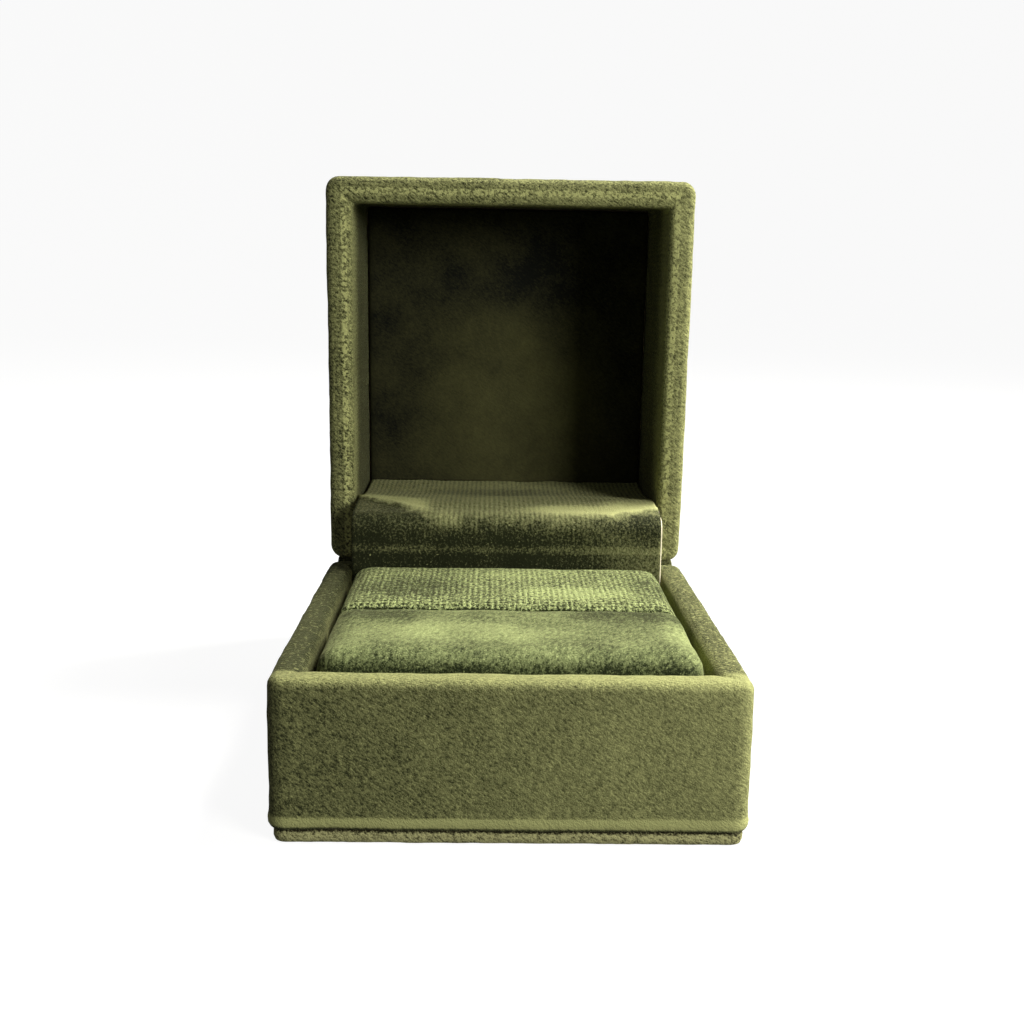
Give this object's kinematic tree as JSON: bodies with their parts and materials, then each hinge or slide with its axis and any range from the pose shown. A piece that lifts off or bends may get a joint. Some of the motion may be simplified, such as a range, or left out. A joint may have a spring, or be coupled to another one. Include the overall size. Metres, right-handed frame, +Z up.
{
  "type": "ring box",
  "caption": "Square velvet ring box with a deep hinged lid, a slotted ring pad, a folded flap over a snap spring, and a thin bottom plate.",
  "frame": {"origin": "centre of the underside of the bottom plate, on the table", "axes": "+X to the right of someone facing the open box, +Y from the front to the hinge, +Z up; the lid is open at rest"},
  "size_m": [0.06, 0.0948, 0.0862],
  "materials": {
    "velvet_cover": "short cotton velvet pile, streaked where it was brushed",
    "velvet_pad": "short velvet pile, crushed in patches, lit from above",
    "velvet_lining": "short velvet pile in shade",
    "wall_board": "plain dense fibre board",
    "card": "uncoated grey-brown card",
    "cream_card": "uncoated cream card",
    "foam": "open-cell foam",
    "spring_steel": "bright spring steel",
    "bracket_steel": "pressed sheet steel"
  },
  "bodies": {
    "base": {"bottom_board": "wall_board", "bottom_cover": "velvet_cover", "base_front_wall": "wall_board", "base_rear_wall": "wall_board", "base_left_wall": "wall_board", "base_right_wall": "wall_board", "base_cover": "velvet_cover", "base_hinge_bracket": "bracket_steel", "base_bracket_rivets": "bracket_steel", "base_hinge_rod": "spring_steel", "hinge_flap": "velvet_pad", "flap_backing": "cream_card", "back_spine": "velvet_cover"},
    "ring_insert": {"pad_platform": "card", "front_foam": "foam", "rear_foam": "foam", "front_pad_cover": "velvet_pad", "rear_pad_cover": "velvet_pad"},
    "hinge_spring": {"snap_spring": "spring_steel"},
    "lid": {"lid_front_wall": "wall_board", "lid_rear_wall": "wall_board", "lid_left_wall": "wall_board", "lid_right_wall": "wall_board", "lid_top_board": "wall_board", "lid_cover": "velvet_cover", "lid_lining_board": "cream_card", "lid_lining": "velvet_lining", "lid_hinge_bracket": "bracket_steel", "lid_bracket_rivets": "bracket_steel", "lid_hinge_rod": "spring_steel"}
  },
  "joints": [
    {"name": "lid_hinge", "type": "hinge", "parent": "base", "child": "lid", "pos_m": [0, 0.03175, 0.02165], "axis": [1, 0, 0], "range_deg": [0, 88], "deforming": ["hinge_flap", "flap_backing", "back_spine", "snap_spring"]},
    {"name": "spring_pivot", "type": "hinge", "parent": "base", "child": "hinge_spring", "pos_m": [0, 0.02855, 0.01373], "axis": [1, 0, 0], "range_deg": [0, 44]},
    {"name": "insert_lift", "type": "slide", "parent": "base", "child": "ring_insert", "axis": [0, 0, 1], "range_m": [0, 0.02]}
  ],
  "couplings": [
    {"joint": "spring_pivot", "follows": "lid_hinge", "ratio": 0.5}
  ]
}
